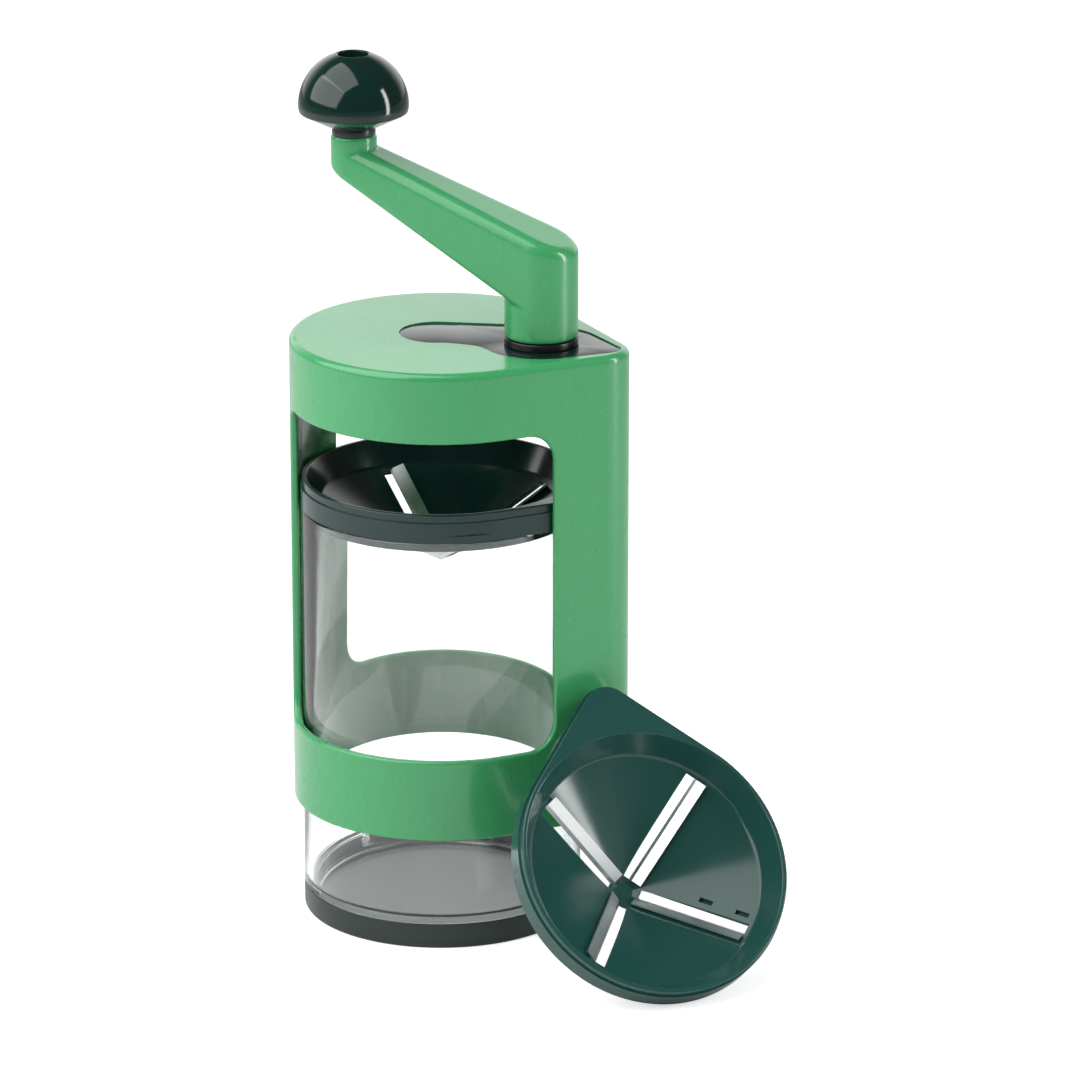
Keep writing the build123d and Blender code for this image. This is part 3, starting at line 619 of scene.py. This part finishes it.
# ---- bushes ---------------------------------------------------------------------------------------
# The turning pieces run in bushes of black acetal, turned and left satin. The crank's has a
# flange that shows as a black ring under the column; the other two are hidden.
black_acetal = finish_with(
    moulded_skin,
    "bush_plastic",
    Colour=(0.008, 0.009, 0.009, 1),
    Shade_Change=0.1,
    Grain_Size=2500,
    Grain_Height=0.000012,
    Roughness=0.3,
    Gloss_Change=0.1,
    Edge_Width=0.0004,
    Edge_Wear=0.6,
)
dress(black_acetal, "spindle_bush", "cover_bush")
crank_bush = softened_copy("crank_bush", "crank_bush_ring", 0.0004)
fit(crank_bush, black_acetal, "housing", "bush_plastic", "crank_bush")

# ---- gears ----------------------------------------------------------------------------------------
# Both gears are natural acetal, milky and satin. They sit on the shafts' hexagons under the
# sleeve's top, out of sight.
milky_acetal = finish_with(
    moulded_skin,
    "gear_plastic",
    Colour=(0.72, 0.70, 0.62, 1),
    Shade_Change=0.08,
    Grain_Size=2000,
    Grain_Height=0.000012,
    Roughness=0.38,
    Gloss_Change=0.1,
    Edge_Width=0.0005,
    Edge_Wear=0.4,
)
dress(milky_acetal, "crank_gear", "spindle_gear")

# ---- gear cover and its screws --------------------------------------------------------------------
# A shallow pale green tray, moulded and satin, closes the gears in from below. Four steel screws
# in its ears hold it to the sleeve.
pale_plastic = finish_with(
    moulded_skin,
    "cover_plastic",
    Colour=(0.10, 0.24, 0.14, 1),
    Shade_Change=0.08,
    Grain_Size=1500,
    Grain_Height=0.00002,
    Roughness=0.42,
    Gloss_Change=0.1,
    Edge_Width=0.0006,
    Edge_Wear=0.5,
)
gear_cover = softened_copy("gear_cover", "gear_tray", 0.0003)
fit(gear_cover, pale_plastic, "housing", "cover_plastic", "gear_cover")

plain_steel = finish_with(
    ground_steel,
    "turned_steel",
    Colour=(0.60, 0.61, 0.62, 1),
    Line_Height=0.00001,
    Roughness=0.28,
    Gloss_Change=0.12,
)
plain_steel.node_tree.nodes["Principled BSDF"].inputs["Metallic"].default_value = 1.0
dress(plain_steel, "cover_screws")

# ---- spindle and food holder ----------------------------------------------------------------------
# The spindle hangs through the gear cover. A clip holds it up, and the food holder with its six
# pointed prongs is screwed to its lower end.
holder_plastic = finish_with(
    moulded_skin,
    "holder_plastic",
    Colour=(0.012, 0.040, 0.034, 1),
    Shade_Change=0.12,
    Grain_Size=1600,
    Grain_Height=0.00002,
    Roughness=0.3,
    Gloss_Change=0.1,
    Edge_Width=0.0005,
    Edge_Wear=0.7,
)
dress(holder_plastic, "food_holder")
dress(plain_steel, "spindle_shaft", "spindle_clip", "holder_prongs", "holder_screw")

# ---- crank ----------------------------------------------------------------------------------------
# Column, rising arm and post are one moulding with soft edges, whose corners blend into each
# other. It stands on the bush, and its steel shaft carries the small gear below.
arm_grid = 0.00042
arm_smoothing = 10
arm = joined_copy("crank_arm", "crank_moulding")
apply_modifier(arm, "REMESH", mode="VOXEL", voxel_size=arm_grid)
apply_modifier(arm, "SMOOTH", factor=0.5, iterations=arm_smoothing)
bpy.ops.object.shade_smooth()
fit(arm, green_plastic, "crank", "sleeve_plastic", "crank_arm")
dress(plain_steel, "crank_shaft", "crank_washer", "crank_screw", "knob_bolt")

# ---- knob -----------------------------------------------------------------------------------------
# A domed knob of nearly black, polished plastic turns on a steel bolt, over a black collar. A cap
# of the same plastic closes the hole at its top.
knob_low, knob_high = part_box("knob")
knob_place = ((knob_low.x + knob_high.x) / 2, 0)
knob_radius = (knob_high.x - knob_low.x) / 2
knob_waist = knob_low.z + 0.0072
knob_band = 0.0020
knob_band_inset = 0.0003
knob_band_radius = knob_radius - knob_band_inset
knob_corner = 0.0009
neck_edge = 0.0005
knob_neck = 0.0084
knob_bore = 0.00305
recess_radius = 0.0053
recess_lip = 0.0006
recess_edge = 0.0003
recess_floor = 0.0088
dome_steps = 24
knob_gloss = finish_with(
    moulded_skin,
    "knob_plastic",
    Colour=(0.0035, 0.020, 0.015, 1),
    Shade_Change=0.1,
    Grain_Size=1800,
    Grain_Height=0.000006,
    Roughness=0.09,
    Gloss_Change=0.06,
    Edge_Width=0.0004,
    Edge_Wear=0.8,
)
collar = softened_copy("knob_collar", "knob_collar_ring", 0.0003)
fit(collar, black_acetal, "crank", "bush_plastic", "knob_collar")

dome_end = acos((recess_radius + recess_lip) / knob_radius)
turns = [dome_end * n / dome_steps for n in range(dome_steps)]
dome = [(knob_radius * cos(t), knob_waist + knob_radius * sin(t), 0) for t in turns]
knob = spun(
    "domed_knob",
    rounded([
        (knob_bore, knob_low.z, 0),
        (knob_neck, knob_low.z, neck_edge),
        (knob_band_radius, knob_waist - knob_band, knob_corner),
        *dome,
        (recess_radius + recess_lip, knob_high.z, recess_edge),
        (recess_radius, knob_high.z - recess_edge, 0.0002),
        (recess_radius, knob_high.z - recess_floor, 0),
        (knob_bore, knob_high.z - recess_floor, 0),
        (knob_bore, knob_low.z, 0),
    ]),
    centre=knob_place,
)
fit(knob, knob_gloss, "knob", "knob_plastic", "knob")

cap_low, cap_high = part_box("knob_cap")
cap_radius = (cap_high.x - cap_low.x) / 2
cap_dish = 0.0004
cap_rim = 0.0009
cap = spun(
    "knob_cap_disc",
    rounded([
        (0, cap_low.z, 0),
        (cap_radius, cap_low.z, 0.0003),
        (cap_radius, cap_high.z, 0.0003),
        (cap_radius - cap_rim, cap_high.z, 0.0002),
        (cap_radius - 2 * cap_rim, cap_high.z - cap_dish, 0.0003),
        (0, cap_high.z - cap_dish, 0),
    ]),
    centre=knob_place,
)
fit(cap, knob_gloss, "knob", "knob_plastic", "knob_cap")
